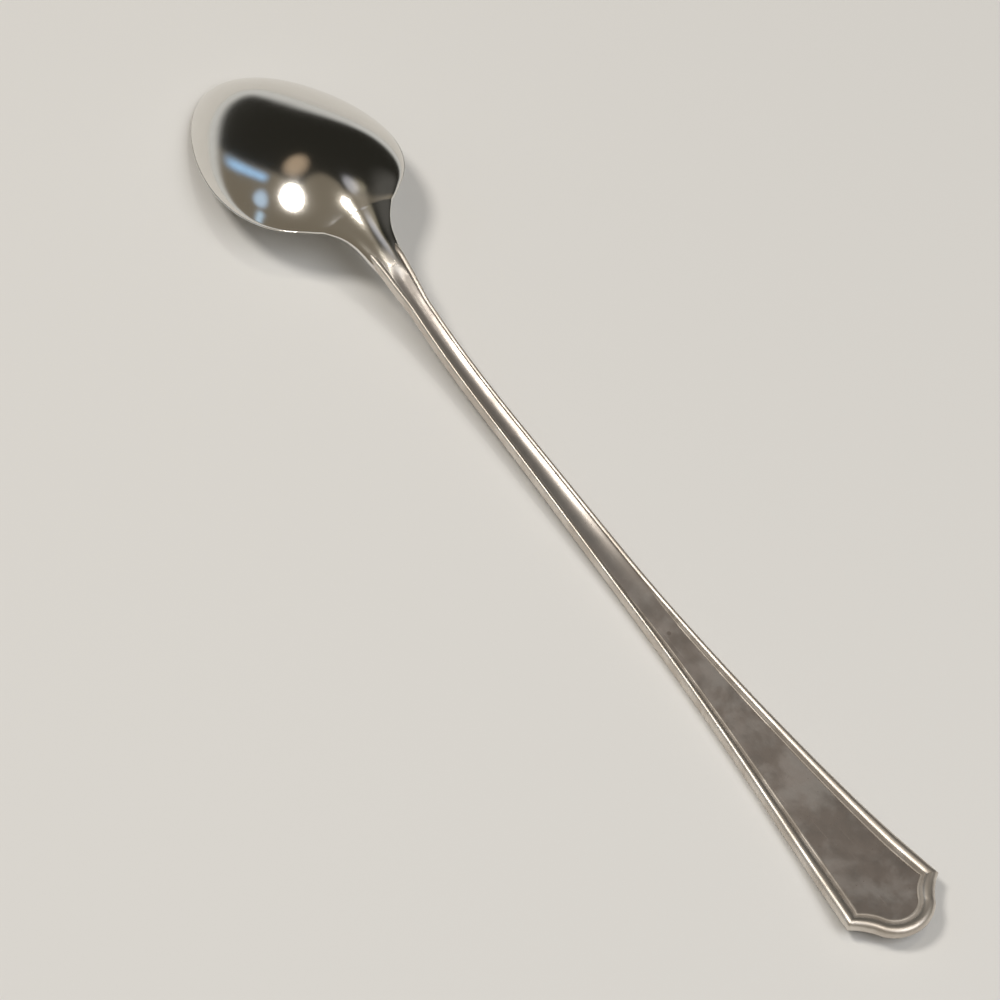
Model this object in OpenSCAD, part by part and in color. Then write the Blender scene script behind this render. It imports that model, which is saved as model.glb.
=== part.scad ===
// Iced tea spoon, lying face down on its rim tip and its handle, back up.
// The spoon is one forging. Its zones are drawn apart and meet face to face.
// X runs from the handle end to the bowl tip, Y across, Z up through the back.

/* [Whole spoon] */
// Length from the handle end to the bowl tip
spoon_l = 194; // [170:1:230]
// Height of the bowl's rim at the neck above the table
neck_rise = 11.15; // [8:0.05:15]

/* [Bowl] */
// Length of the bowl from the neck to the tip
bowl_l = 44.5; // [38:0.5:52]
// Width of the bowl, before the egg shape widens its neck end
bowl_w = 30.1; // [24:0.1:36]
// Depth of the bowl's back above its rim
bowl_d = 7.8; // [6:0.1:10]
// Thickness of the bowl's wall
bowl_wall = 1.2; // [0.9:0.05:1.6]
// Height of the squared edge of the rim
rim_edge_h = 0.25; // [0.15:0.05:0.4]
// Solid metal between the neck and the start of the hollow
heel_l = 3; // [2:0.5:5]
// Sag of the rim below a straight line from neck to tip, at mid bowl
rim_sag = -0.2; // [-1:0.1:1]

/* [Neck] */
// Width of the neck where the bowl begins
neck_w = 12.8; // [11:0.2:15]
// Thickness of the neck where the bowl begins, before its crown is added
neck_t = 1.2; // [1:0.1:1.6]
// Length of the neck from the stem to the bowl
neck_l = 13.5; // [11:0.5:17]

/* [Stem and blade] */
// Width of the stem where it is slimmest
stem_w = 3.8; // [3.4:0.05:4.6]
// Thickness of the stem without its borders
stem_t = 1.9; // [1.6:0.1:2.4]
// Length of the flare from the slimmest stem to the bowl
flare_l = 18; // [17.5:0.5:26]
// Width of the handle across its shoulders
end_w = 16.7; // [15.6:0.1:19]
// Thickness of the handle end without its borders
end_t = 1.4; // [1.2:0.1:1.8]

/* [Shaped end] */
// Distance of the shoulders from the handle end
shoulder_l = 6.1; // [5.6:0.1:7]
// Length of the round lobe
lobe_l = 2.3; // [2:0.1:2.8]
// Width of the round lobe
lobe_w = 9.7; // [9:0.1:10.6]
// Depth of the hollow scoop between lobe and shoulder
scoop_d = 0.3; // [0.1:0.05:0.45]

/* [Raised border] */
// Height of the outer bead above the panel
bead_h = 0.42; // [0.3:0.02:0.6]
// Width of the outer bead at the handle end
bead_end_w = 1.6; // [1.3:0.05:1.9]
// Width of the outer bead on the stem
bead_stem_w = 0.95; // [0.8:0.05:1]
// Width of the groove at the handle end
groove_end_w = 0.5; // [0.4:0.05:0.6]
// Width of the groove on the stem
groove_stem_w = 0.2; // [0.15:0.05:0.25]
// Width of the fine inner line at the handle end
line_end_w = 0.6; // [0.4:0.05:0.8]
// Width of the fine inner line on the stem
line_stem_w = 0.25; // [0.2:0.05:0.3]
// Height of the fine inner line above the panel
line_h = 0.2; // [0.14:0.02:0.26]
// Height of the groove's floor above the panel
groove_floor_h = 0.08; // [0.04:0.01:0.12]
// Length of the borders' run-out on the neck
border_out_l = 6.5; // [5:0.5:8]

/* [Zones] */
// Length of the shaped end zone
end_zone_l = 14; // [13:0.5:18]
// Place where the blade zone ends and the stem zone begins
blade_zone_l = 84; // [60:1:100]

/* [Hidden] */
metal = [0.72, 0.69, 0.64];
metal_border = [0.8, 0.77, 0.71];
metal_bowl = [0.62, 0.62, 0.61];

// Counts of steps along and across the forms
end_steps = 7;
blade_steps = 26;
stem_steps = 18;
runout_steps = 5;
flare_steps = 10;
bowl_steps = 46;
back_steps = 24;
hollow_steps = 18;
bead_out_steps = 4;
bead_in_steps = 3;
line_steps = 4;

// Half widths fall from the shoulders to the stem: [share of the way, share of the drop left]
width_shares = [[0, 1], [0.05, 0.875], [0.15, 0.65], [0.31, 0.355], [0.47, 0.167], [0.63, 0.08],
    [0.83, 0.017], [1, 0]];
// Half widths grow from the stem to the bowl: [share of the way, share of the gain]
flare_shares = [[0, 0], [0.25, 0.1], [0.45, 0.165], [0.62, 0.265], [0.78, 0.42], [0.9, 0.68], [1, 1]];
// Heights of the middle of the metal: [share of the handle, share of the neck's rise]
height_shares = [[0, 0.309], [0.0937, 0.169], [0.2677, 0.1127], [0.4684, 0.1436], [0.6691, 0.281],
    [0.8364, 0.471], [0.9501, 0.865]];
// Back of the bowl above the rim: [share of the bowl, share of the depth]
back_shares = [[0, 0.28], [0.05, 0.415], [0.1, 0.585], [0.2, 0.845], [0.3, 0.96], [0.42, 1], [0.55, 0.97],
    [0.7, 0.89], [0.85, 0.76], [1, 0.49]];
// Hollow of the bowl above the rim: [share of the hollow, share of its depth]
hollow_shares = [[0, 0], [0.06, 0.34], [0.12, 0.58], [0.2, 0.8], [0.3, 0.94], [0.42, 1], [0.55, 0.97],
    [0.7, 0.89], [0.85, 0.76], [1, 0.49]];
egg_share = 0.23;
bowl_plan_power = 0.92;
bowl_tip_power = 7.9;
// Rounding between the neck's flare and the bowl, as the power of their blend
bowl_join_power = 2.6;
bowl_section_power = 1.84;
bowl_section_root = 0.75;
// Section of the neck where the borders end: nearly square, with rounded shoulders
neck_section_power = 8;
neck_section_root = 0.5;
neck_edge_share = 0.5;
blunt_share = 0.25;
border_end_share = 0.2;
tip_turn_share = 0.985;

handle_l = spoon_l - bowl_l;
neck_s = handle_l - neck_l;
slimmest_s = handle_l - flare_l;
border_end_s = neck_s + border_out_l;

function mix(a, b, t) = a + (b - a) * t;
function limit(v, low, high) = min(max(v, low), high);
function ease(t) = t * t * (3 - 2 * t);
function knot(tab, x, i = 0) = i >= len(tab) - 2 || x < tab[i + 1][0] ? i : knot(tab, x, i + 1);
function knot_slope(tab, i) =
    let(a = max(i - 1, 0), b = min(i + 1, len(tab) - 1))
    (tab[b][1] - tab[a][1]) / (tab[b][0] - tab[a][0]);
// Smooth curve through a table of [place, value]
function curve(tab, x) =
    let(i = knot(tab, x), h = tab[i + 1][0] - tab[i][0], t = limit((x - tab[i][0]) / h, 0, 1))
    (2 * t * t * t - 3 * t * t + 1) * tab[i][1] + (t * t * t - 2 * t * t + t) * h * knot_slope(tab, i)
    + (3 * t * t - 2 * t * t * t) * tab[i + 1][1] + (t * t * t - t * t) * h * knot_slope(tab, i + 1);
function spread(a, b, n) = [for (i = [0 : n]) mix(a, b, i / n)];

// Rim of the bowl above the table at a share of the bowl's length
function rim_z(a) = neck_rise * (1 - a) - rim_sag * 4 * a * (1 - a);
function back_rise(a) = bowl_d * curve(back_shares, a) * sqrt(max(1 - pow(a, bowl_tip_power), 0));
function plan_round(a) = pow(2 * sqrt(max(a * (1 - a), 0)), bowl_plan_power);
function egg(a) = 1 - egg_share * (2 * a - 1);
function bowl_half(a) =
    pow(pow(bowl_w / 2 * plan_round(a) * egg(a), bowl_join_power)
        + pow(neck_w / 2 * max(1 - 2 * a, 0), bowl_join_power), 1 / bowl_join_power);
function section_rise(t, power = bowl_section_power, root = bowl_section_root) =
    pow(max(1 - pow(abs(t), power), 0), root);

// Half width, thickness and middle of the handle at a distance from its end
function half_w(s) =
    s <= slimmest_s
    ? mix(stem_w, end_w, curve(width_shares, (s - shoulder_l) / (slimmest_s - shoulder_l))) / 2
    : mix(stem_w, neck_w, curve(flare_shares, (s - slimmest_s) / flare_l)) / 2;
mid_table = concat([for (p = height_shares) [p[0] * handle_l, p[1] * neck_rise]],
    [[handle_l, neck_rise + neck_t / 2]]);
function mid_z(s) =
    s < end_zone_l
    ? mix(curve(mid_table, 0), curve(mid_table, end_zone_l), s / end_zone_l)
    : curve(mid_table, s);
function core_t(s) =
    s < neck_s
    ? mix(end_t, stem_t, limit(s / blade_zone_l, 0, 1))
    : mix(stem_t, neck_t, ease((s - neck_s) / neck_l));
// Share of the way from the bar section, where the borders end, to the bowl's domed section
function domed(s) = ease(limit((s - border_end_s) / (handle_l - border_end_s), 0, 1));

// Widths and heights of the border at a distance from the handle end
function slim(s) = limit((half_w(s) - stem_w / 2) / (end_w / 2 - stem_w / 2), 0, 1);
function bead_w(s) = mix(bead_stem_w, bead_end_w, slim(s));
function groove_w(s) = mix(groove_stem_w, groove_end_w, slim(s));
function line_w(s) = mix(line_stem_w, line_end_w, slim(s));
function border_fade(s) =
    mix(1, border_end_share, ease(limit((s - neck_s) / border_out_l, 0, 1)));
// The handle's edge rolls in an ellipse from bead to bead. How far in it lies at a height above the middle
function roll_h(s) = core_t(s) / 2 + border_fade(s) * bead_h;
function roll_in(s, z) = bead_w(s) / 2 * (1 - sqrt(max(1 - pow(z / roll_h(s), 2), 0)));
// Heights at which the edge is drawn, as shares of half the thickness
side_shares = [-1, -0.5, 0, 0.5, 1];
// Border section as [distance in from the edge, height above the panel]
function border_section(s) =
    let(b = bead_w(s), g = groove_w(s), n = line_w(s), f = border_fade(s), h = roll_h(s), t = core_t(s) / 2,
        q0 = asin(t / h))
    concat(
        [for (i = [0 : bead_out_steps]) let(q = mix(q0, 90, i / bead_out_steps))
            [b * (1 - cos(q)) / 2, h * sin(q) - t]],
        [for (i = [1 : bead_in_steps - 1]) let(q = 90 + 90 * i / bead_in_steps)
            [b * (1 - cos(q)) / 2, f * max(bead_h * sin(q), groove_floor_h)]],
        [[b, f * groove_floor_h], [b + g, f * groove_floor_h]],
        [for (i = [1 : line_steps - 1]) let(q = 180 * i / line_steps)
            [b + g + n * (1 - cos(q)) / 2, f * max(line_h * sin(q), groove_floor_h)]],
        [[b + g + n, 0]]);

// Shaped end: corner where lobe and scoop meet, and shoulder corner, moved in by an inset
lobe_corner = [lobe_l, lobe_w / 2];
shoulder = [shoulder_l, end_w / 2];
scoop_dir = (shoulder - lobe_corner) / norm(shoulder - lobe_corner);
scoop_in = [scoop_dir[1], -scoop_dir[0]];
lobe_radius = (lobe_l * lobe_l + lobe_w * lobe_w / 4) / (2 * lobe_l);
lobe_out = [(lobe_l - lobe_radius) / lobe_radius, lobe_w / 2 / lobe_radius];
// Moves a corner in by one between two edges whose inward normals are a and b
function miter(a, b) = (a + b) / (1 + a * b);
lobe_miter = miter(-lobe_out, scoop_in);
shoulder_miter = miter(scoop_in, [0, -1]);
function lobe_corner_at(inset) = lobe_corner + inset * lobe_miter;
function shoulder_at(inset) = shoulder + inset * shoulder_miter;
// Arc through [inset, 0] and the lobe corner, centred on the axis
function lobe_point(inset, u) =
    let(c = lobe_corner_at(inset), dx = c[0] - inset, r = (dx * dx + c[1] * c[1]) / (2 * dx),
        q = u * atan2(c[1], r - dx))
    [inset + r * (1 - cos(q)), r * sin(q)];
function scoop_point(inset, u) =
    mix(lobe_corner_at(inset), shoulder_at(inset), u) + scoop_in * scoop_d * 4 * u * (1 - u);
// Half outline of the end from the middle of the lobe to the shoulder
function end_half(inset) = concat(
    [for (i = [0 : end_steps]) lobe_point(inset, i / end_steps)],
    [for (i = [1 : end_steps]) scoop_point(inset, i / end_steps)]);

blade_stations = spread(end_zone_l, blade_zone_l, blade_steps);
stem_stations = spread(blade_zone_l, neck_s, stem_steps);
runout_stations = spread(neck_s, border_end_s, runout_steps);
flare_stations = spread(border_end_s, handle_l, flare_steps);
// Side of the end zone, from the innermost shoulder inset to the blade
shoulder_stations = spread((shoulder_l + end_zone_l) / 2, end_zone_l, 2);
function tail(list) = [for (i = [1 : len(list) - 1]) list[i]];
border_stations = concat(shoulder_stations, tail(blade_stations), tail(stem_stations),
    tail(runout_stations));

// The spoon is lowered until the lowest of its borders and rim touches the table
lowest = min([for (s = concat([0], border_stations)) mid_z(s) - core_t(s) / 2 - bead_h]);
rest_z = min(lowest, 0);
function place(p) = [p[0] - spoon_l / 2, p[1], p[2] - rest_z];

// Closed skin over equal rings, capped at both ends. A fanned cap starts at each ring's last point
module rings(sections, fanned = false) {
    n = len(sections[0]);
    m = len(sections);
    points = [for (r = sections) for (p = r) place(p)];
    sides = [for (j = [0 : m - 2]) for (i = [0 : n - 1])
        let(k = (i + 1) % n, a = j * n + i, b = j * n + k, c = (j + 1) * n + k, d = (j + 1) * n + i)
        each [[a, c, b], [a, d, c]]];
    last = (m - 1) * n;
    caps = fanned
        ? [for (i = [0 : n - 3]) each [[n - 1, i, i + 1], [last + n - 1, last + i + 1, last + i]]]
        : [[for (i = [0 : n - 1]) i], [for (i = [n - 1 : -1 : 0]) last + i]];
    polyhedron(points = points, faces = concat(sides, caps), convexity = 6);
}

// Bar section, flat above and below, with rolled edges
function bar_ring(s) =
    let(w = half_w(s), z = mid_z(s), t = core_t(s) / 2, last = len(side_shares) - 1)
    concat([for (v = side_shares) [s, roll_in(s, v * t) - w, z + v * t]],
        [for (i = [last : -1 : 0]) let(v = side_shares[i]) [s, w - roll_in(s, v * t), z + v * t]]);
// Shares across a back, closer together at both sides
across = [for (i = [0 : back_steps]) -cos(180 * i / back_steps)];
// Neck section: flat below, and above from a bar with rounded shoulders to the bowl's dome
function neck_ring(s) =
    let(w = half_w(s), q = domed(s), t = core_t(s), z = mid_z(s) - t / 2,
        e = mix(neck_edge_share * t, rim_edge_h, q), c = t + q * (back_rise(0) - neck_t) - e,
        power = mix(neck_section_power, bowl_section_power, q),
        root = mix(neck_section_root, bowl_section_root, q))
    concat([for (u = across) [s, w * u, z + e + c * section_rise(u, power, root)]],
        [[s, w, z], [s, -w, z]]);

// Hollow of the bowl at a share of the bowl's length
hollow_from = heel_l / bowl_l;
hollow_to = 1 - bowl_wall / bowl_l;
function in_hollow(a) = (a - hollow_from) / (hollow_to - hollow_from);
function hollow_half(a) =
    let(h = in_hollow(a), w = (bowl_w / 2 - bowl_wall) * plan_round(limit(h, 0, 1)) * egg(limit(h, 0, 1)))
    max(w, blunt_share * bowl_half(a));
function hollow_rise(a) =
    let(h = limit(in_hollow(a), 0, 1))
    (bowl_d - bowl_wall) * curve(hollow_shares, h) * sqrt(max(1 - pow(h, bowl_tip_power), 0));
function bowl_ring(a) =
    let(s = handle_l + a * bowl_l, w = bowl_half(a), z = rim_z(a), e = rim_edge_h,
        c = max(back_rise(a) - e, 0), wi = hollow_half(a), ci = hollow_rise(a))
    concat(
        [for (u = across) [s, w * u, z + e + c * section_rise(u)]],
        [[s, w, z]],
        [for (i = [0 : hollow_steps]) let(u = cos(180 * i / hollow_steps))
            [s, wi * u, z + ci * section_rise(u)]],
        [[s, -w, z]]);

module bowl() {
    turns = [for (i = [0 : bowl_steps]) 180 * tip_turn_share * i / bowl_steps];
    color(metal_bowl)
        rings([for (q = turns) bowl_ring((1 - cos(q)) / (1 - cos(180 * tip_turn_share)))]);
}

module neck() {
    color(metal) rings([for (s = flare_stations) neck_ring(s)], fanned = true);
}

module stem() {
    color(metal) rings([for (s = concat(stem_stations, tail(runout_stations))) bar_ring(s)]);
}

module blade() {
    color(metal) rings([for (s = blade_stations) bar_ring(s)]);
}

// Plate of the shaped end, in one plane so that the borders seat flat on it
module shaped_end() {
    function level(v) =
        let(inset = roll_in(end_zone_l, v * core_t(end_zone_l) / 2),
            half = concat(end_half(inset), [for (s = shoulder_stations) [s, half_w(s) - inset]]),
            outline = concat(half, [for (i = [len(half) - 1 : -1 : 1]) [half[i][0], -half[i][1]]]))
        [for (p = outline) [p[0], p[1], mid_z(p[0]) + v * core_t(p[0]) / 2]];
    color(metal) rings([for (v = side_shares) level(v)]);
}

// Border running from the neck round the shaped end and back, raised on one face
module border(face) {
    end_rows = [for (k = border_section(end_zone_l)) end_half(k[0])];
    section = border_section(end_zone_l);
    end_rings = [for (i = [0 : len(end_rows[0]) - 1])
        [for (k = [0 : len(section) - 1]) [end_rows[k][i][0], end_rows[k][i][1], section[k][1]]]];
    side_rings = [for (s = border_stations)
        let(e = border_section(max(s, end_zone_l)))
        [for (k = e) [s, half_w(s) - k[0], k[1]]]];
    half = concat(end_rings, side_rings);
    n = len(half);
    other = [for (i = [n - 1 : -1 : 1]) [for (p = half[i]) [p[0], -p[1], p[2]]]];
    path = concat(other, half);
    skin = [for (r = path) [for (p = r)
        [p[0], p[1], mid_z(p[0]) + face * (core_t(p[0]) / 2 + p[2])]]];
    rings(face > 0 ? skin : [for (r = skin) [for (i = [len(r) - 1 : -1 : 0]) r[i]]]);
}

module back_border() {
    color(metal_border) border(1);
}

module front_border() {
    color(metal_border) border(-1);
}

bowl();
neck();
stem();
blade();
shaped_end();
back_border();
front_border();
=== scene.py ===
# Iced tea spoon lying face down on a pale floor
import math
import bpy
import bmesh
import numpy as np
from mathutils import Matrix, Vector


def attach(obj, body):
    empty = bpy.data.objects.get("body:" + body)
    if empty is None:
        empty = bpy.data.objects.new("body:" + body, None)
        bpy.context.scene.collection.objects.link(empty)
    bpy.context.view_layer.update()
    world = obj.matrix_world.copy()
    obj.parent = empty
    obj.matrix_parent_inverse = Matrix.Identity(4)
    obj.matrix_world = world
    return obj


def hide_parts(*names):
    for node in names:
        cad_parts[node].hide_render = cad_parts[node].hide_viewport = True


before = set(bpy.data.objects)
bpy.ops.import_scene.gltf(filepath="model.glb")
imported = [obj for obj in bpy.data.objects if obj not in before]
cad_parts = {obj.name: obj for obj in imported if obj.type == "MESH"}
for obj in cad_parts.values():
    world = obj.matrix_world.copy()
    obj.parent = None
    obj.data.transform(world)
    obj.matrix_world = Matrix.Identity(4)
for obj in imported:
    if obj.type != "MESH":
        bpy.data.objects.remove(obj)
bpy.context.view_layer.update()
mm = 0.001
scene = bpy.context.scene


# node trees written as sums
class Wire:
    # one value in a node tree; sums of wires add the Math nodes
    def __init__(self, bench, socket):
        self.bench = bench
        self.socket = socket

    def __add__(self, other):
        return self.bench.maths("ADD", self, other)

    def __radd__(self, other):
        return self.bench.maths("ADD", other, self)

    def __sub__(self, other):
        return self.bench.maths("SUBTRACT", self, other)

    def __rsub__(self, other):
        return self.bench.maths("SUBTRACT", other, self)

    def __mul__(self, other):
        return self.bench.maths("MULTIPLY", self, other)

    def __rmul__(self, other):
        return self.bench.maths("MULTIPLY", other, self)

    def __truediv__(self, other):
        return self.bench.maths("DIVIDE", self, other)

    def __rtruediv__(self, other):
        return self.bench.maths("DIVIDE", other, self)

    def __pow__(self, other):
        return self.bench.maths("POWER", self, other)


class Bench:
    # adds nodes to one tree, laid out in columns as they come
    def __init__(self, tree):
        self.tree = tree
        self.count = 0

    def node(self, kind, settings=None, *values, out=0, **named):
        item = self.tree.nodes.new(kind)
        item.location = (220 * (self.count // 8), -190 * (self.count % 8))
        self.count += 1
        for key, value in (settings or {}).items():
            setattr(item, key, value)
        inputs = [s for s in item.inputs if s.enabled]
        byName = {s.name.replace(" ", ""): s for s in reversed(inputs)}
        pairs = list(zip(inputs, values)) + [(byName[key], value) for key, value in named.items()]
        for socket, value in pairs:
            self.feed(socket, value)
        outputs = [s for s in item.outputs if s.enabled]
        return Wire(self, outputs[out]) if outputs else item

    def feed(self, socket, value):
        if isinstance(value, Wire):
            self.tree.links.new(value.socket, socket)
        elif value is not None:
            socket.default_value = value

    # shorthands
    def maths(self, operation, *values):
        return self.node("ShaderNodeMath", {"operation": operation}, *values)

    def clamped(self, value, low=0.0, high=1.0):
        return self.maths("MINIMUM", self.maths("MAXIMUM", value, low), high)

    def smooth(self, value, low, high, start=0.0, end=1.0):
        settings = {"interpolation_type": "SMOOTHSTEP"}
        return self.node("ShaderNodeMapRange", settings, value, low, high, start, end)

    def mix(self, share, first, second):
        return self.node("ShaderNodeMix", {"data_type": "RGBA"}, share, first, second)

    def vector(self, operation, *values, **named):
        return self.node("ShaderNodeVectorMath", {"operation": operation}, *values, **named)


# camera
cameraSettings = {
    "place": (-0.246287, 0.191988, 0.439390),
    "right": (-0.557611, -0.829319, 0.036058),
    "up": (0.691629, -0.440133, 0.572654),
    "lens": 123.20,
    "sensor": 36.0,
}


def makeCamera(settings):
    data = bpy.data.cameras.new("camera")
    data.sensor_width = settings["sensor"]
    data.lens = settings["lens"]
    data.clip_start = 0.01
    camera = bpy.data.objects.new("camera", data)
    right = Vector(settings["right"]).normalized()
    up = Vector(settings["up"]).normalized()
    turn = Matrix((right, up, right.cross(up))).transposed().to_4x4()
    camera.matrix_world = Matrix.Translation(settings["place"]) @ turn
    scene.collection.objects.link(camera)
    scene.camera = camera


makeCamera(cameraSettings)
print("camera placed")

# form of the spoon, in millimetres from the handle end
spoonSizes = {
    "length": 194.0,
    "neckRise": 11.15,
    "restHeight": 0.0166,
    "handleThickness": 1.4,
    "stemThickness": 1.9,
    "zoneLength": 14.0,
    "bladeLength": 84.0,
}
bowlSizes = {
    "length": 44.5,
    "width": 30.1,
    "depth": 7.8,
    "wall": 1.2,
    "rimEdge": 0.25,
    "heel": 3.0,
    "rimSag": -0.2,
    "egg": 0.23,
    "planPower": 0.92,
    "tipPower": 7.9,
    "joinPower": 2.6,
    "join": (0.01, 2.5, 1.1),  # how late the bowl widens, reach and slope of the neck's line in it
    "bluntShare": 0.25,
    "lipFade": (0.1, 0.02),
    "back": [(0, 0.1858), (0.05, 0.3585), (0.1, 0.513), (0.2, 0.766), (0.3, 0.935), (0.42, 1),
             (0.55, 0.97), (0.7, 0.89), (0.85, 0.76), (1, 0.49)],
    "hollow": [(0, 0), (0.06, 0.34), (0.12, 0.58), (0.2, 0.8), (0.3, 0.94), (0.42, 1),
               (0.55, 0.97), (0.7, 0.89), (0.85, 0.76), (1, 0.49)],
}
handleSizes = {
    "neckWidth": 12.8,
    "neckThickness": 1.2,
    "neckLength": 13.5,
    "domeAfter": 6.5,
    "creaseAt": 145.5,
    "creaseSlope": (0.3775, -0.003),  # of the dome where it begins, and how it bends
    "creaseWidth": (0.2, 138.0, 5.0),  # width, place where it starts, length it grows over
    "crownLeast": -3.0,
    "flatFade": 0.3,
    "shoulderRound": (3.2, 0.53),  # reach and bend of the ridge between neck and rim
    "flatPower": [(0, 8.0), (124, 8.0), (139, 3.2), (144, 2.35), (147, 2.02), (149.5, 1.9)],
    "flatRoot": [(0, 0.5), (124, 0.5), (139, 0.8), (149.5, 0.76)],
    "neckRamp": (0.05, 137.5, 4.5),  # height, place where it starts, length
    "stemWidth": 3.8,
    "flareLength": 18.0,
    "endWidth": 16.7,
    "shoulder": 6.1,
    "lobeLength": 2.3,
    "lobeWidth": 9.7,
    "scoop": 0.3,
    "runOut": 6.8,
    "fadeLength": 3.2,
    "tuck": 0.25,
    "tuckFade": (4.8, 4.0),  # how long before the border's end, and length
    "channelDepth": 0.42,
    "channelFrom": 62.0,
    "channelFull": 90.0,
    "channelEnd": (139.6, 3.4),  # place and length of the scoop
    "channelInset": 0.5,
    "channelLeastHalf": 0.8,
    "channelPower": 1.6,
    "undersideShare": 0.9,
    "taper": [(0, 1), (0.05, 0.875), (0.15, 0.65), (0.31, 0.355), (0.47, 0.167), (0.63, 0.08),
              (0.83, 0.017), (1, 0)],
    "flare": [(0, 0), (0.25, 0.1), (0.45, 0.165), (0.62, 0.265), (0.78, 0.42), (0.9, 0.68), (1, 1)],
    "height": [(0, 0.309), (0.0937, 0.169), (0.2677, 0.1127), (0.4684, 0.1436), (0.6691, 0.281),
               (0.8364, 0.471), (0.9501, 0.865)],
}
handleLength = spoonSizes["length"] - bowlSizes["length"]
neckStart = handleLength - handleSizes["neckLength"]
borderEnd = neckStart + handleSizes["runOut"]
domeStart = neckStart + handleSizes["domeAfter"]
slimmest = handleLength - handleSizes["flareLength"]
restHeight = spoonSizes["restHeight"]


def spline(table, places):
    # smooth curve through a table of (place, value), with even curvature at the knots
    x = np.array([p[0] for p in table], float)
    y = np.array([p[1] for p in table], float)
    h = np.diff(x)
    slope = np.diff(y) / h
    n = len(x)
    a = np.zeros((n, n))
    b = np.zeros(n)
    a[0, 0] = a[-1, -1] = 1
    b[0], b[-1] = slope[0], slope[-1]
    for i in range(1, n - 1):
        a[i, i - 1:i + 2] = 1 / h[i - 1], 2 / h[i - 1] + 2 / h[i], 1 / h[i]
        b[i] = 3 * slope[i - 1] / h[i - 1] + 3 * slope[i] / h[i]
    m = np.linalg.solve(a, b)
    p = np.clip(np.asarray(places, float), x[0], x[-1])
    i = np.clip(np.searchsorted(x, p, side="right") - 1, 0, n - 2)
    t = (p - x[i]) / h[i]
    return ((2 * t ** 3 - 3 * t ** 2 + 1) * y[i] + (t ** 3 - 2 * t ** 2 + t) * h[i] * m[i]
            + (3 * t ** 2 - 2 * t ** 3) * y[i + 1] + (t ** 3 - t ** 2) * h[i] * m[i + 1])


def mixed(a, b, t):
    return a + (b - a) * t


def eased(t):
    t = np.clip(t, 0, 1)
    return t * t * (3 - 2 * t)


def halfWidth(s):
    low, high, neck = handleSizes["stemWidth"], handleSizes["endWidth"], handleSizes["neckWidth"]
    first = handleSizes["shoulder"]
    falling = mixed(low, high, spline(handleSizes["taper"], (s - first) / (slimmest - first)))
    flared = (s - slimmest) / handleSizes["flareLength"]
    growing = mixed(low, neck, spline(handleSizes["flare"], flared))
    return np.where(s <= slimmest, falling, growing) / 2


def middleHeight(s):
    rise = spoonSizes["neckRise"]
    table = [(p * handleLength, v * rise) for p, v in handleSizes["height"]]
    table.append((handleLength, rise + handleSizes["neckThickness"] / 2))
    zone = spoonSizes["zoneLength"]
    ends = spline(table, np.array([0.0, zone]))
    return np.where(s < zone, mixed(ends[0], ends[1], s / zone), spline(table, s)) + restHeight


def coreThickness(s):
    blade = mixed(spoonSizes["handleThickness"], spoonSizes["stemThickness"],
                  np.clip(s / spoonSizes["bladeLength"], 0, 1))
    neck = mixed(spoonSizes["stemThickness"], handleSizes["neckThickness"],
                 eased((s - neckStart) / handleSizes["neckLength"]))
    return np.where(s < neckStart, blade, neck)


def tipRound(a):
    return np.sqrt(np.maximum(1 - a ** bowlSizes["tipPower"], 0))


def backRise(a):
    return bowlSizes["depth"] * spline(bowlSizes["back"], a) * tipRound(a)


def planRound(a):
    return (2 * np.sqrt(np.maximum(a * (1 - a), 0))) ** bowlSizes["planPower"]


def eggShape(a):
    return 1 - bowlSizes["egg"] * (2 * a - 1)


def bowlHalf(a):
    # carries on in line with the neck's sides, so that no crease runs across the join
    lag, reach, slope = bowlSizes["join"]
    wide = bowlSizes["width"] / 2 * planRound(a * a / (a + lag * (1 - a) ** 8)) * eggShape(a)
    past = a * bowlSizes["length"]
    flare = (handleSizes["neckWidth"] / 2 * np.maximum(1 - 2 * a, 0)
             + slope * past * np.maximum(1 - past / reach, 0) ** 2)
    power = bowlSizes["joinPower"]
    return (wide ** power + flare ** power) ** (1 / power)


# outline of the shaped end
lobeCorner = np.array([handleSizes["lobeLength"], handleSizes["lobeWidth"] / 2])
shoulderCorner = np.array([handleSizes["shoulder"], handleSizes["endWidth"] / 2])
scoopWay = (shoulderCorner - lobeCorner) / np.linalg.norm(shoulderCorner - lobeCorner)
scoopIn = np.array([scoopWay[1], -scoopWay[0]])
lobeRadius = (lobeCorner[0] ** 2 + lobeCorner[1] ** 2) / (2 * lobeCorner[0])
lobeOut = np.array([lobeCorner[0] - lobeRadius, lobeCorner[1]]) / lobeRadius


def mitre(a, b):
    return (a + b) / (1 + a @ b)


def endOutline(inset, count):
    # half outline from the middle of the lobe to the shoulder, moved in by an inset
    corner = lobeCorner + inset * mitre(-lobeOut, scoopIn)
    shoulder = shoulderCorner + inset * mitre(scoopIn, np.array([0.0, -1.0]))
    dx = corner[0] - inset
    radius = (dx ** 2 + corner[1] ** 2) / (2 * dx)
    turn = np.linspace(0, math.atan2(corner[1], radius - dx), count)
    lobe = np.stack([inset + radius * (1 - np.cos(turn)), radius * np.sin(turn)], 1)
    u = np.linspace(0, 1, count)[1:, None]
    scoop = mixed(corner, shoulder, u) + scoopIn * handleSizes["scoop"] * 4 * u * (1 - u)
    return np.concatenate([lobe, scoop])


print("form worked out")


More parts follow.
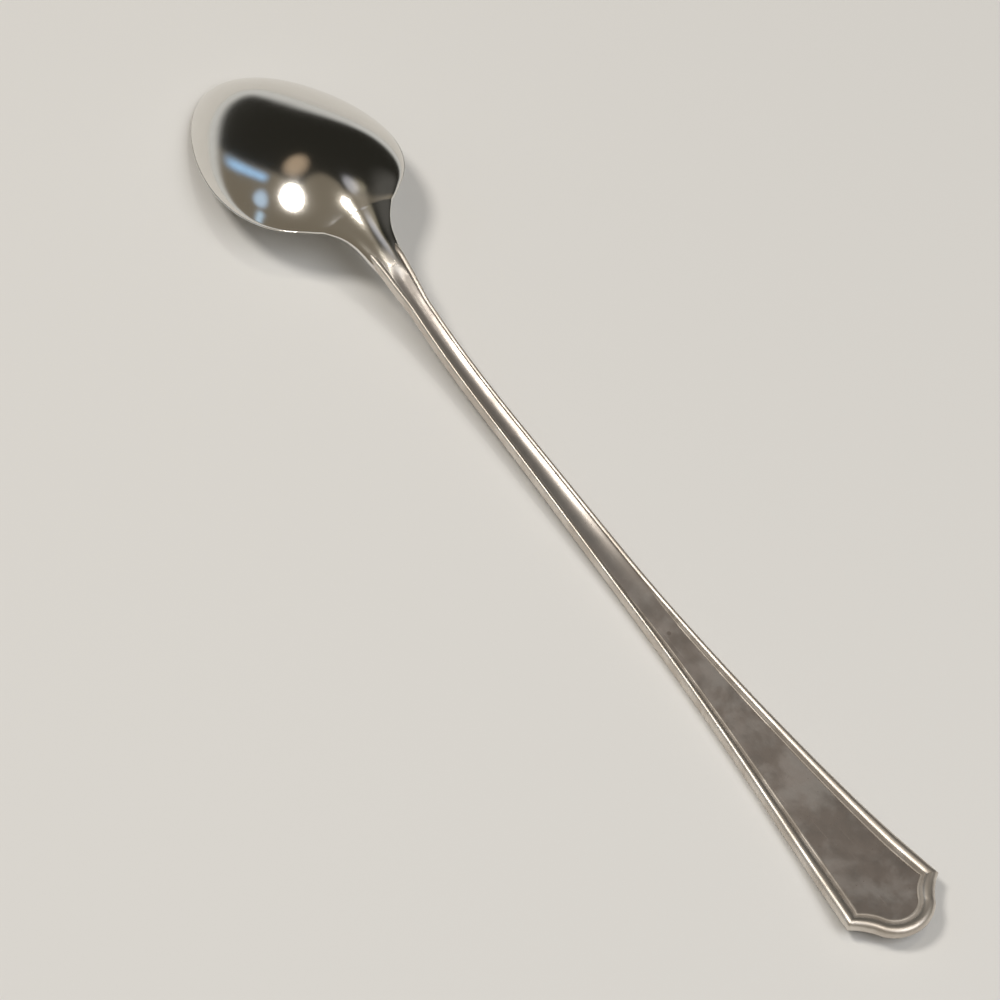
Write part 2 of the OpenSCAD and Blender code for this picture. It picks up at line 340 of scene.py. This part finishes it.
# geometry node tools
def railObject(name, points, numbers, vectors):
    # loose points that carry what the lofting tree needs at each station
    mesh = bpy.data.meshes.new(name)
    mesh.from_pydata([tuple(p) for p in points], [], [])
    for key, values in numbers.items():
        layer = mesh.attributes.new(key, "FLOAT", "POINT")
        layer.data.foreach_set("value", np.asarray(values, np.float32))
    for key, values in vectors.items():
        layer = mesh.attributes.new(key, "FLOAT_VECTOR", "POINT")
        layer.data.foreach_set("vector", np.asarray(values, np.float32).ravel())
    item = bpy.data.objects.new(name, mesh)
    scene.collection.objects.link(item)
    return item


def bake(item, tree, values):
    # runs the tree on the rail and leaves a plain mesh
    modifier = item.modifiers.new("form", "NODES")
    modifier.node_group = tree
    for socket in tree.interface.items_tree:
        if socket.in_out == "INPUT" and socket.name in values:
            modifier[socket.identifier] = values[socket.name]
    depsgraph = bpy.context.evaluated_depsgraph_get()
    mesh = bpy.data.meshes.new_from_object(item.evaluated_get(depsgraph))
    item.modifiers.remove(modifier)
    item.data = mesh
    return mesh


def startTree(name, sizes):
    tree = bpy.data.node_groups.new(name, "GeometryNodeTree")
    sockets = tree.interface
    sockets.new_socket(name="Rail", in_out="INPUT", socket_type="NodeSocketGeometry")
    for key, value in sizes.items():
        kind = "NodeSocketInt" if key.endswith(("Steps", "Stations")) else "NodeSocketFloat"
        sockets.new_socket(name=key, in_out="INPUT", socket_type=kind).default_value = value
    sockets.new_socket(name="Geometry", in_out="OUTPUT", socket_type="NodeSocketGeometry")
    bench = Bench(tree)
    entry = tree.nodes.new("NodeGroupInput")
    return bench, {s.name: Wire(bench, s) for s in entry.outputs if s.name}


def loftGrid(bench, wires, ring):
    # a row of points for each station of the rail, and the tools that place them
    grid = bench.node("GeometryNodeMeshGrid", {}, 1.0, 1.0, wires["Stations"], ring)
    index = bench.node("GeometryNodeInputIndex")
    station = bench.maths("FLOOR", (index + 0.5) / ring)
    step = index - station * ring

    def phase(start, count):
        return bench.clamped((step - start) / count)

    def read(key, kind="FLOAT"):
        value = bench.node("GeometryNodeInputNamedAttribute", {"data_type": kind}, key)
        settings = {"data_type": kind, "domain": "POINT"}
        return bench.node("GeometryNodeSampleIndex", settings, wires["Rail"], value, station)

    return grid, step, phase, read


def endTree(bench, geometry, material):
    merged = bench.node("GeometryNodeMergeByDistance", {}, geometry, Distance=1e-6)
    shaded = bench.node("GeometryNodeSetShadeSmooth", {}, merged)
    real = bench.node("GeometryNodeRealizeInstances", {}, shaded)
    finished = bench.node("GeometryNodeSetMaterial", {}, real, Material=material)
    bench.node("NodeGroupOutput", {}, finished)
    return bench.tree


def closeMesh(mesh, sharpDegrees):
    # faces outwards, sharp edges only at real corners
    work = bmesh.new()
    work.from_mesh(mesh)
    bmesh.ops.dissolve_degenerate(work, dist=1e-7, edges=work.edges)
    bmesh.ops.recalc_face_normals(work, faces=work.faces)
    openEdges = sum(1 for e in work.edges if len(e.link_faces) != 2)
    work.to_mesh(mesh)
    work.free()
    mesh.shade_smooth()
    mesh.set_sharp_from_angle(angle=math.radians(sharpDegrees))
    print(mesh.name, "faces:", len(mesh.polygons), "open edges:", openEdges)


# the forging: bowl, neck, stem, blade and shaped end as one skin
forgingDetail = {
    "Section Power": 1.84,
    "Section Root": 0.75,
    "Back Steps": 64,
    "Lip Steps": 6,
    "Rim Steps": 2,
    "Hollow Steps": 44,
}
forgingStations = {"lobe": 22, "blade": 130, "flare": 64, "bowl": 140}
forgingSharp = 40


def forgingRail():
    # the skin lies just inside the borders, which make the handle's visible edge
    end = endOutline(handleSizes["tuck"], forgingStations["lobe"])
    sideS = np.concatenate([
        np.linspace(end[-1, 0], neckStart, forgingStations["blade"])[1:],
        np.linspace(neckStart, handleLength, forgingStations["flare"])[1:-1],
    ])
    handleS = np.concatenate([end[:, 0], sideS])
    before, fading = handleSizes["tuckFade"]
    tuck = handleSizes["tuck"] * (1 - eased((sideS - (borderEnd - before)) / fading))
    half = np.concatenate([end[:, 1], halfWidth(sideS) - tuck])
    thick = coreThickness(handleS)
    low = middleHeight(handleS) - thick / 2
    domed = eased((handleS - domeStart) / (handleLength - domeStart))
    # the flat neck runs up to a crease, from where the bowl's dome rises more steeply
    rampHeight, rampFrom, rampLength = handleSizes["neckRamp"]
    ramp = rampHeight * eased((handleS - rampFrom) / rampLength)
    past = handleS - handleSizes["creaseAt"]
    slope, bend = handleSizes["creaseSlope"]
    climb = slope * past - bend * np.maximum(past, 0) ** 2
    last = handleLength - handleSizes["creaseAt"]
    climbed = slope * last - bend * last ** 2
    gain = climb / climbed * (backRise(np.zeros(1))[0] - handleSizes["neckThickness"])
    side = mixed(thick / 2, bowlSizes["rimEdge"], domed)
    # the panel turns into a shallow channel along the stem, scooped out at its neck end
    channelFrom, channelFull = handleSizes["channelFrom"], handleSizes["channelFull"]
    channelEnd, scoopLength = handleSizes["channelEnd"]
    channel = (handleSizes["channelDepth"] * eased((channelEnd - handleS) / scoopLength)
               * eased((handleS - channelFrom) / (channelFull - channelFrom)))
    channelHalf = half + handleSizes["tuck"] - handleSizes["channelInset"]
    turn = np.linspace(0, math.pi, forgingStations["bowl"])
    a = (1 - np.cos(turn)) / 2
    rim = spoonSizes["neckRise"] * (1 - a) - bowlSizes["rimSag"] * 4 * a * (1 - a) + restHeight
    # rounds the ridge where the rising neck meets the falling rim
    reach, kink = handleSizes["shoulderRound"]

    def sunk(s):
        return kink / (4 * reach) * np.maximum(reach - np.abs(s - handleLength), 0) ** 2

    edge = bowlSizes["rimEdge"]
    hollowFrom = bowlSizes["heel"] / bowlSizes["length"]
    hollowTo = 1 - bowlSizes["wall"] / bowlSizes["length"]
    h = np.clip((a - hollowFrom) / (hollowTo - hollowFrom), 0, 1)
    inner = (bowlSizes["width"] / 2 - bowlSizes["wall"]) * planRound(h) * eggShape(h)
    inner = np.maximum(inner, bowlSizes["bluntShare"] * bowlHalf(a))
    hollow = (bowlSizes["depth"] - bowlSizes["wall"]) * spline(bowlSizes["hollow"], h) * tipRound(h)
    bowlS = handleLength + a * bowlSizes["length"]
    atNeck, atTip = bowlSizes["lipFade"]
    lipOut = edge / 2 * eased(a / atNeck) * eased((1 - a) / atTip)
    creaseWidth, creaseFrom, creaseGrowth = handleSizes["creaseWidth"]
    onNeck, onBowl = sunk(handleS), sunk(bowlS)
    low, rim = low - onNeck, rim - onBowl
    flatLeft = 1 - eased(a / handleSizes["flatFade"])
    columns = {
        "along": (handleS - spoonSizes["length"] / 2, bowlS - spoonSizes["length"] / 2),
        "half": (half, bowlHalf(a)),
        "inner": (half * handleSizes["undersideShare"], inner),
        "top": (low + side, rim + edge),
        "low": (low, rim),
        "crown": (np.maximum(thick - side + gain, handleSizes["crownLeast"]) + onNeck,
                  np.maximum(backRise(a) - edge, 0) + onBowl),
        "flat": (thick - side + ramp + onNeck,
                 (thick[-1] - side[-1] + ramp[-1] + onBowl) * flatLeft),
        "hollow": (0 * handleS, hollow),
        "lipOut": (0 * handleS, lipOut),
        "crease": (creaseWidth * eased((handleS - creaseFrom) / creaseGrowth), 0 * a + creaseWidth),
        "channel": (channel, 0 * a),
        "channelHalf": (np.maximum(channelHalf, handleSizes["channelLeastHalf"]), 0 * a + 1),
    }
    numbers = {key: np.concatenate(pair) * mm for key, pair in columns.items()}
    for key in ("flatPower", "flatRoot"):
        places, values = zip(*handleSizes[key])
        numbers[key] = np.interp(np.concatenate([handleS, bowlS]), places, values)
    points = np.stack([numbers["along"], 0 * numbers["along"], numbers["top"]], 1)
    return railObject("forging", points, numbers, {})


def forgingTree(material):
    bench, wires = startTree("lofted forging", {**forgingDetail, "Stations": 2})
    back, lip, rim, hollow = (wires[k + " Steps"] for k in ("Back", "Lip", "Rim", "Hollow"))
    ring = back + lip * 2 + rim * 2 + hollow + 1
    grid, step, phase, read = loftGrid(bench, wires, ring)

    def rise(turned, power=wires["Section Power"], root=wires["Section Root"]):
        bent = bench.maths("ABSOLUTE", turned) ** power
        return bench.maths("MAXIMUM", 1 - bent, 0.0) ** root

    # once round the section: back, lip, rim, hollow, rim, lip
    overBack = bench.maths("COSINE", phase(0, back) * math.pi)
    lipDown = phase(back, lip) * math.pi
    rimIn = phase(back + lip, rim)
    inHollow = bench.maths("COSINE", phase(back + lip + rim, hollow) * math.pi)
    rimOut = phase(back + lip + rim + hollow, rim)
    lipUp = phase(back + lip + rim * 2 + hollow, lip) * math.pi
    half, inner, top, low = (read(key) for key in ("half", "inner", "top", "low"))
    swell = bench.maths("SINE", lipDown) - bench.maths("SINE", lipUp)
    fall = (bench.maths("COSINE", lipUp) - bench.maths("COSINE", lipDown)) / 2
    across = (read("lipOut") * swell - half * overBack - (half - inner) * (rimIn + rimOut)
              + inner * (inHollow - 1))
    off = bench.clamped(1 - (half * overBack / read("channelHalf")) ** 2)
    onBack = bench.maths("LESS_THAN", step, back)
    dip = read("channel") * off ** handleSizes["channelPower"] * onBack
    # the higher of dome and flat face, with a soft crease between them
    flatRise = rise(overBack, read("flatPower"), read("flatRoot"))
    dome, flat = read("crown") * rise(overBack), read("flat") * flatRise
    crease = read("crease") * flatRise
    over = (dome + flat + ((dome - flat) ** 2 + crease * crease) ** 0.5) / 2
    up = top - (top - low) * fall + over + read("hollow") * rise(inHollow) - dip
    place = bench.node("ShaderNodeCombineXYZ", {}, read("along"), across, up)
    formed = bench.node("GeometryNodeSetPosition", {}, grid, Position=place)
    return endTree(bench, formed, material)


# raised borders: an outer bead, a groove and a fine inner line that follow the handle's outline
borderDetail = {
    "Bead Steps": 16,
    "Groove Steps": 2,
    "Line Steps": 8,
    "Bead Height": 0.42,
    "Bead Height On Stem": 0.24,
    "Bead Width": 2.1,
    "Bead Width On Stem": 0.85,
    "Groove Width": 0.3,
    "Groove Width On Stem": 0.2,
    "Line Width": 0.5,
    "Line Width On Stem": 0.25,
    "Line Height": 0.13,
    "Groove Floor": 0.08,
    "Least Width Share": 0.08,
    "Sink": 0.1,
    "End Sink": 0.4,
    "Run Out Drop": 0.3,
}
borderStations = {"lobe": 26, "sideFrom": 7.8, "spacing": 0.5, "probe": 1.5}
borderLines = {"fadeFrom": 58.0, "fadeLength": 18.0}
borderSharp = 50


def borderRail(name, face):
    outer = endOutline(0.0, borderStations["lobe"])
    moved = endOutline(borderStations["probe"], borderStations["lobe"])
    inward = (moved - outer) / borderStations["probe"]
    count = int((borderEnd - borderStations["sideFrom"]) / borderStations["spacing"])
    s = np.linspace(borderStations["sideFrom"], borderEnd, count)
    outer = np.concatenate([outer, np.stack([s, halfWidth(s)], 1)])
    inward = np.concatenate([inward, np.tile([0.0, -1.0], (count, 1))])
    other = slice(None, 0, -1)
    outline = np.concatenate([outer[other] * [1, -1], outer])
    inward = np.concatenate([inward[other] * [1, -1], inward])
    s = outline[:, 0]
    zone = spoonSizes["zoneLength"]
    middle = middleHeight(np.array([0.0, zone]))
    tilt = np.where(s < zone, (middle[1] - middle[0]) / zone, 0)
    widest = halfWidth(np.maximum(s, zone))
    narrow = handleSizes["stemWidth"] / 2
    slim = np.clip((widest - narrow) / (handleSizes["endWidth"] / 2 - narrow), 0, 1)
    fade = 1 - eased((s - borderEnd + handleSizes["fadeLength"]) / handleSizes["fadeLength"])
    lined = 1 - eased((s - borderLines["fadeFrom"]) / borderLines["fadeLength"])
    core = coreThickness(np.maximum(s, 0)) / 2 * mm
    ends = np.zeros(len(s))
    ends[[0, -1]] = 1
    height = middleHeight(s) + face * coreThickness(s) / 2
    points = np.stack([s - spoonSizes["length"] / 2, outline[:, 1], height], 1) * mm
    inward = np.stack([inward[:, 0], inward[:, 1], inward[:, 0] * tilt], 1)
    numbers = {"slim": slim, "fade": fade, "lined": lined, "core": core, "closed end": ends}
    return railObject(name, points, numbers, {"inward": inward})


def borderTree(material):
    bench, wires = startTree("swept border", {**borderDetail, "Stations": 2, "Face": 1.0})
    bead, groove, line = (wires[k + " Steps"] for k in ("Bead", "Groove", "Line"))
    total = bead + groove + line
    grid, step, phase, read = loftGrid(bench, wires, total + 4)
    slim, lined = read("slim"), read("lined")

    def width(key, share=1.0):
        onStem = wires[key + " On Stem"]
        return (onStem + (wires[key] - onStem) * slim) * mm * share

    onBead, onGroove = phase(1, bead), phase(bead + 1, groove)
    beadTurn, lineTurn = onBead * math.pi, phase(bead + groove + 1, line) * math.pi
    least = wires["Least Width Share"]
    narrowed = least + lined * (1 - least)
    inset = (width("Bead Width") * (1 - bench.maths("COSINE", beadTurn)) / 2
             + width("Groove Width", narrowed) * onGroove
             + width("Line Width", narrowed) * (1 - bench.maths("COSINE", lineTurn)) / 2)
    low, high = wires["Bead Height On Stem"], wires["Bead Height"]
    crest = low + (high - low) * lined
    relief = bench.maths("MAXIMUM", crest * bench.maths("SINE", beadTurn),
                         wires["Line Height"] * lined * bench.maths("SINE", lineTurn))
    raised = bench.maths("MAXIMUM", relief, wires["Groove Floor"] * lined) * read("fade")
    # the outer half of the bead rolls down to the middle of the metal
    core = read("core")
    outside = bench.maths("LESS_THAN", onBead, 0.5)
    roll = core * (bench.maths("SINE", beadTurn) - 1) * outside
    sink = wires["Sink"] * mm
    before = bench.maths("LESS_THAN", step, 0.5)
    after = bench.maths("GREATER_THAN", step, total + 1.5)
    closing = bench.maths("GREATER_THAN", step, total + 2.5)
    visible = bench.maths("GREATER_THAN", step, 1.5) * bench.maths("LESS_THAN", step, total + 0.5)
    inside = bench.maths("MAXIMUM", before, closing)
    inset = (inset - sink * after) * (1 - inside) + width("Bead Width") / 2 * inside
    lift = (raised * mm * visible + roll * (1 - before)) * (1 - after)
    lift = lift - sink * after * (1 - closing) - core * inside
    # at its run-out the border sinks into the neck
    drop = wires["Run Out Drop"] * mm * (1 - read("fade"))
    inset = inset + drop
    lift = lift - drop
    ends = read("closed end")
    inset = inset * (1 - ends) + width("Bead Width") * ends
    lift = lift * (1 - ends) - wires["End Sink"] * mm * ends
    moved = bench.vector("SCALE", read("inward", "FLOAT_VECTOR"), Scale=inset)
    upward = bench.node("ShaderNodeCombineXYZ", {}, 0.0, 0.0, lift * wires["Face"])
    start = read("position", "FLOAT_VECTOR")
    place = bench.vector("ADD", bench.vector("ADD", start, moved), upward)
    formed = bench.node("GeometryNodeSetPosition", {}, grid, Position=place)
    depth = bench.clamped(1 - raised / high) * (1 - outside)
    settings = {"data_type": "FLOAT", "domain": "POINT"}
    stored = bench.node("GeometryNodeStoreNamedAttribute", settings, formed, Name="recess",
                        Value=depth)
    return endTree(bench, stored, material)


# materials
def newMaterial(name):
    material = bpy.data.materials.new(name)
    material.use_nodes = True
    material.node_tree.nodes.clear()
    return material, Bench(material.node_tree)


def finishMaterial(bench, settings, colour, roughness, metallic, height):
    strength, distance = settings["bump"]
    bump = bench.node("ShaderNodeBump", {}, strength, distance, Height=height)
    shader = bench.node("ShaderNodeBsdfPrincipled", {}, colour, Roughness=roughness,
                        Metallic=metallic, Normal=bump)
    bench.node("ShaderNodeOutputMaterial", {}, shader)


def noise(bench, where, scale, detail, roughness=0.5, distortion=0.0):
    return bench.node("ShaderNodeTexNoise", {"noise_dimensions": "3D"}, Vector=where, Scale=scale,
                      Detail=detail, Roughness=roughness, Distortion=distortion)


def hairlines(bench, where, turn, scale, detail):
    # noise drawn out along one direction
    drawn = bench.node("ShaderNodeMapping", {}, where, Rotation=(0, 0, turn), Scale=scale)
    return noise(bench, drawn, 1.0, detail)


def dots(bench, where, scale):
    return bench.node("ShaderNodeTexVoronoi", {"feature": "F1"}, Vector=where, Scale=scale)


# silver plate: polished on the bowl, tarnished and scratched on the handle
plateLook = {
    "silver": (0.80, 0.78, 0.74, 1.0),
    "warm": (0.36, 0.322, 0.296, 1.0),
    "brown": (0.21, 0.175, 0.150, 1.0),
    "speck": (0.10, 0.08, 0.065, 1.0),
    "bowlRoughness": 0.10,
    "handleRoughness": 0.31,
    "bump": (0.35, 0.00003),
    # where the handle's finish and the blade's finish end, in metres along the spoon
    "handleEnd": (0.0375, 0.0470),
    "bladeEnd": (-0.040, -0.014),
    # scale, detail, roughness, distortion
    "broad": (110.0, 4.0, 0.6, 0.6),
    "cloudy": (420.0, 5.0, 0.65),
    "fine": (2600.0, 3.0),
    "patches": (120.0, 4.0, 0.6, 0.3),
    # turn, scale and detail of the hairlines
    "lengthways": (0.12, (60, 5200, 5200), 2.0),
    "slantwise": (0.95, (45, 4200, 900), 1.0),
    "crossing": (-0.62, (60, 3600, 900), 1.0),
    "specks": 1500.0,
    "spots": 170.0,
    # values of the patterns between which each mark comes in
    "stainRange": (0.36, 0.64),
    "patchRange": (0.40, 0.62),
    "slantwiseRange": (0.71, 0.77),
    "crossingRange": (0.72, 0.78),
    "speckRange": (0.16, 0.08),
    "speckWhere": (0.52, 0.62),
    "spotRange": (0.085, 0.045),
    "spotWhere": (0.5, 0.56),
    # tarnish of the blade, of the handle, of the handle's stains, of stains anywhere
    "tarnish": (0.22, 0.50, 0.28, 0.06),
}


def plateMaterial(name, settings):
    material, bench = newMaterial(name)
    where = bench.node("ShaderNodeTexCoord", {}, out=3)
    along = bench.node("ShaderNodeSeparateXYZ", {}, where)
    onHandle = 1 - bench.smooth(along, *settings["handleEnd"])
    onBlade = 1 - bench.smooth(along, *settings["bladeEnd"])
    broad = noise(bench, where, *settings["broad"])
    cloudy = noise(bench, where, *settings["cloudy"])
    fine = noise(bench, where, *settings["fine"])
    patches = noise(bench, where, *settings["patches"])
    stain = bench.smooth(broad * 0.55 + cloudy * 0.45, *settings["stainRange"])
    patch = bench.smooth(patches, *settings["patchRange"])
    lengthways = hairlines(bench, where, *settings["lengthways"])
    slantwise = hairlines(bench, where, *settings["slantwise"])
    crossing = hairlines(bench, where, *settings["crossing"])
    scratch = bench.maths("MAXIMUM", bench.smooth(slantwise, *settings["slantwiseRange"]),
                          bench.smooth(crossing, *settings["crossingRange"]))
    scratch = scratch * (0.12 + onHandle * 0.88)
    speck = bench.smooth(dots(bench, where, settings["specks"]), *settings["speckRange"])
    speck = speck * bench.smooth(cloudy, *settings["speckWhere"]) * onHandle
    spot = bench.smooth(dots(bench, where, settings["spots"]), *settings["spotRange"])
    spot = spot * bench.smooth(broad, *settings["spotWhere"]) * onBlade
    speck = bench.maths("MAXIMUM", speck, spot)
    ofBlade, ofHandle, ofStains, anywhere = settings["tarnish"]
    tarnish = onBlade * ofBlade + onHandle * (ofHandle + stain * ofStains) + stain * anywhere
    tarnish = bench.clamped(tarnish)
    colour = bench.mix(tarnish, settings["silver"], settings["warm"])
    colour = bench.mix(onHandle * patch * (0.15 + onBlade * 0.55), colour, settings["brown"])
    colour = bench.mix(speck * 0.75, colour, settings["speck"])
    smoothest, dullest = settings["bowlRoughness"], settings["handleRoughness"]
    roughness = (smoothest + (dullest - smoothest) * onHandle + stain * (0.015 + onHandle * 0.07)
                 + scratch * 0.06 + speck * 0.2 + fine * 0.02)
    height = lengthways * (0.1 + onHandle * 0.4) - scratch * 0.5 - speck * 0.5 + cloudy * 0.5
    metallic = 1 - onHandle * (0.14 + onBlade * 0.16 + stain * 0.12)
    finishMaterial(bench, settings, colour, roughness, metallic, height)
    return material


# the borders: worn crests, and darker, duller metal down in the grooves and on the inner slopes
borderLook = {
    "crest": (0.72, 0.67, 0.61, 1.0),
    "warm": (0.50, 0.44, 0.38, 1.0),
    "recess": (0.11, 0.085, 0.06, 1.0),
    "roughness": 0.37,
    "bump": (0.12, 0.00003),
    "broad": (150.0, 4.0, 0.6),
    "fine": (2400.0, 3.0),
    "wornRange": (0.38, 0.62),
    "grimeRange": (0.45, 0.95),
}


def borderMaterial(name, settings):
    material, bench = newMaterial(name)
    where = bench.node("ShaderNodeTexCoord", {}, out=3)
    recess = bench.node("ShaderNodeAttribute", {"attribute_name": "recess"}, out=2)
    broad = noise(bench, where, *settings["broad"])
    fine = noise(bench, where, *settings["fine"])
    worn = bench.smooth(broad, *settings["wornRange"])
    # darker colour the deeper a point lies below the crest, on the inner half of the border only
    recessDarkening = bench.smooth(recess, *settings["grimeRange"]) * (0.65 + worn * 0.35)
    colour = bench.mix(worn * 0.55, settings["crest"], settings["warm"])
    colour = bench.mix(recessDarkening * 0.85, colour, settings["recess"])
    roughness = settings["roughness"] + worn * 0.06 + recessDarkening * 0.3 + fine * 0.03
    metallic = 1 - recessDarkening * 0.6
    finishMaterial(bench, settings, colour, roughness, metallic, fine + broad * 2)
    return material


plate = plateMaterial("silver plate", plateLook)
beaded = borderMaterial("border plate", borderLook)
print("materials made")

forging = forgingRail()
values = {**forgingDetail, "Stations": len(forging.data.vertices)}
closeMesh(bake(forging, forgingTree(plate), values), forgingSharp)
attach(forging, "root")
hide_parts("bowl", "neck", "stem", "blade", "shaped_end")

tree = borderTree(beaded)
for name, node, face in (("backBorder", "back_border", 1.0), ("frontBorder", "front_border", -1.0)):
    border = borderRail(name, face)
    values = {**borderDetail, "Stations": len(border.data.vertices), "Face": face}
    closeMesh(bake(border, tree, values), borderSharp)
    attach(border, "root")
    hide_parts(node)
print("spoon made")


# a pale floor that passes softly into the backdrop
floorLook = {
    "size": 1.4,
    "fade": (0.24, 0.69),
    "colour": (0.74, 0.735, 0.72, 1.0),
    "worn": (0.71, 0.705, 0.69, 1.0),
    "roughness": 0.9,
    "grain": (3.0, 2.0),
}


def floorMaterial(settings):
    material, bench = newMaterial("pale floor")
    where = bench.node("ShaderNodeTexCoord", {}, out=3)
    soft = noise(bench, where, *settings["grain"])
    colour = bench.mix(soft, settings["colour"], settings["worn"])
    solid = bench.smooth(bench.vector("LENGTH", where), *settings["fade"], 1.0, 0.0)
    shader = bench.node("ShaderNodeBsdfPrincipled", {}, colour, Roughness=settings["roughness"],
                        Alpha=solid)
    bench.node("ShaderNodeOutputMaterial", {}, shader)
    return material


def makeFloor(settings):
    r = settings["size"] / 2
    mesh = bpy.data.meshes.new("floor")
    mesh.from_pydata([(-r, -r, 0), (r, -r, 0), (r, r, 0), (-r, r, 0)], [], [(0, 1, 2, 3)])
    mesh.materials.append(floorMaterial(settings))
    floor = bpy.data.objects.new("floor", mesh)
    scene.collection.objects.link(floor)
    return floor


floor = makeFloor(floorLook)


def direction(elevation, azimuth):
    e, a = math.radians(elevation), math.radians(azimuth)
    return (math.cos(e) * math.cos(a), math.cos(e) * math.sin(a), math.sin(e))


# one studio for every ray: a pale low backdrop all round, a dim room above it that is brighter
# on some sides, and soft lights
studioLook = {
    "backdrop": (0.62, 0.62, 0.60),
    "backdropTop": (3.0, 9.0),
    "room": (0.022, 0.021, 0.017),
    "bright": (0.195, 0.168, 0.128),
    "brightSides": [
        # toward (elevation, azimuth), cosines between which it fades in
        {"toward": (-7, 105), "fade": (-0.04, 0.04)},
        {"toward": (9, 162), "fade": (-0.05, 0.05)},
        {"toward": (89, 0), "fade": (0.940, 0.963)},
    ],
    "patches": [
        # toward (elevation, azimuth), half angles, colour, strength
        {"toward": (57, 3), "angles": (2, 12), "colour": (1.0, 0.76, 0.53), "strength": 0.42},
        {"toward": (57, -84), "angles": (1, 6), "colour": (1.0, 0.88, 0.60), "strength": 0.18},
        {"toward": (62.5, -79), "angles": (2.5, 6.5), "colour": (0.9, 0.91, 1.0), "strength": 0.46},
        {"toward": (32, -97), "angles": (6, 22), "colour": (1.0, 0.97, 0.93), "strength": 0.07},
        {"toward": (60, -90), "angles": (2, 9), "colour": (1.0, 0.93, 0.82), "strength": 0.12},
        {"toward": (38, 48), "angles": (2, 9), "colour": (0.46, 0.70, 1.0), "strength": 0.72},
    ],
    "streaks": [
        # between two directions, half width in degrees, colour, strength
        {"ends": ((12, 20), (42, 29)), "width": 4.4, "colour": (0.26, 0.58, 1.0), "strength": 0.95},
        {"ends": ((10, 76), (34, 61)), "width": 6.5, "colour": (0.46, 0.72, 1.0), "strength": 0.75},
    ],
    # a streak's ends fade from this share of its reach to this much past it, in radians
    "streakFade": (0.6, 0.07),
}


def makeWorld(look):
    world = bpy.data.worlds.new("studio")
    scene.world = world
    world.use_nodes = True
    world.node_tree.nodes.clear()
    bench = Bench(world.node_tree)
    where = bench.vector("NORMALIZE", bench.node("ShaderNodeTexCoord", {}, out=0))
    height = bench.node("ShaderNodeSeparateXYZ", {}, where, out=2)

    def facing(toward):
        # cosine of the angle to a direction
        return bench.vector("DOT_PRODUCT", where, tuple(toward))

    def lit(total, light, share):
        colour = tuple(c * light["strength"] for c in light["colour"])
        return bench.vector("ADD", total, bench.vector("SCALE", colour, Scale=share))

    bright = 0.0
    for side in look["brightSides"]:
        seen = bench.smooth(facing(direction(*side["toward"])), *side["fade"])
        bright = bench.maths("MAXIMUM", seen, bright)
    total = bench.mix(bright, (*look["room"], 1.0), (*look["bright"], 1.0))
    for patch in look["patches"]:
        high, low = (math.cos(math.radians(angle)) for angle in patch["angles"])
        total = lit(total, patch, bench.smooth(facing(direction(*patch["toward"])), low, high))
    share, past = look["streakFade"]
    for streak in look["streaks"]:
        first, last = (Vector(direction(*end)) for end in streak["ends"])
        middle = (first + last).normalized()
        reach = first.angle(last) / 2
        off = bench.maths("ABSOLUTE", facing(first.cross(last).normalized()))
        thin = bench.smooth(off, math.sin(math.radians(streak["width"])), 0.0)
        along = bench.smooth(facing(middle), math.cos(reach + past), math.cos(reach * share))
        total = lit(total, streak, thin * along)
    low, high = (math.sin(math.radians(e)) for e in look["backdropTop"])
    total = bench.mix(bench.smooth(height, low, high), (*look["backdrop"], 1.0), total)
    bench.node("ShaderNodeOutputWorld", {}, bench.node("ShaderNodeBackground", {}, total, 1.0))


makeWorld(studioLook)

lampAim = Vector((0.07, 0.0, 0.01))  # the bowl's middle, whose highlights place the lamps
lampSettings = {
    # toward (elevation, azimuth) and away from the aim, size, watts, colour
    "key lamp": {"toward": (65, 51), "away": 1.2, "size": 0.32, "watts": 6.3,
                 "colour": (1.0, 0.95, 0.88)},
    "small lamp": {"toward": (76.2, -112), "away": 1.2, "size": 0.075, "watts": 1.0,
                   "colour": (1.0, 0.93, 0.82)},
    "fill lamp": {"toward": (55, 190), "away": 1.3, "size": 0.9, "watts": 7.4,
                  "colour": (0.95, 0.97, 1.0)},
}


def makeLamp(name, settings):
    data = bpy.data.lights.new(name, "AREA")
    data.shape = "DISK"
    data.size = settings["size"]
    data.energy = settings["watts"]
    data.color = settings["colour"]
    lamp = bpy.data.objects.new(name, data)
    toward = Vector(direction(*settings["toward"]))
    lamp.location = lampAim + toward * settings["away"]
    lamp.rotation_euler = toward.to_track_quat("Z", "Y").to_euler()
    scene.collection.objects.link(lamp)


for name, settings in lampSettings.items():
    makeLamp(name, settings)
scene.view_settings.view_transform = "Standard"
print("stage and light ready")
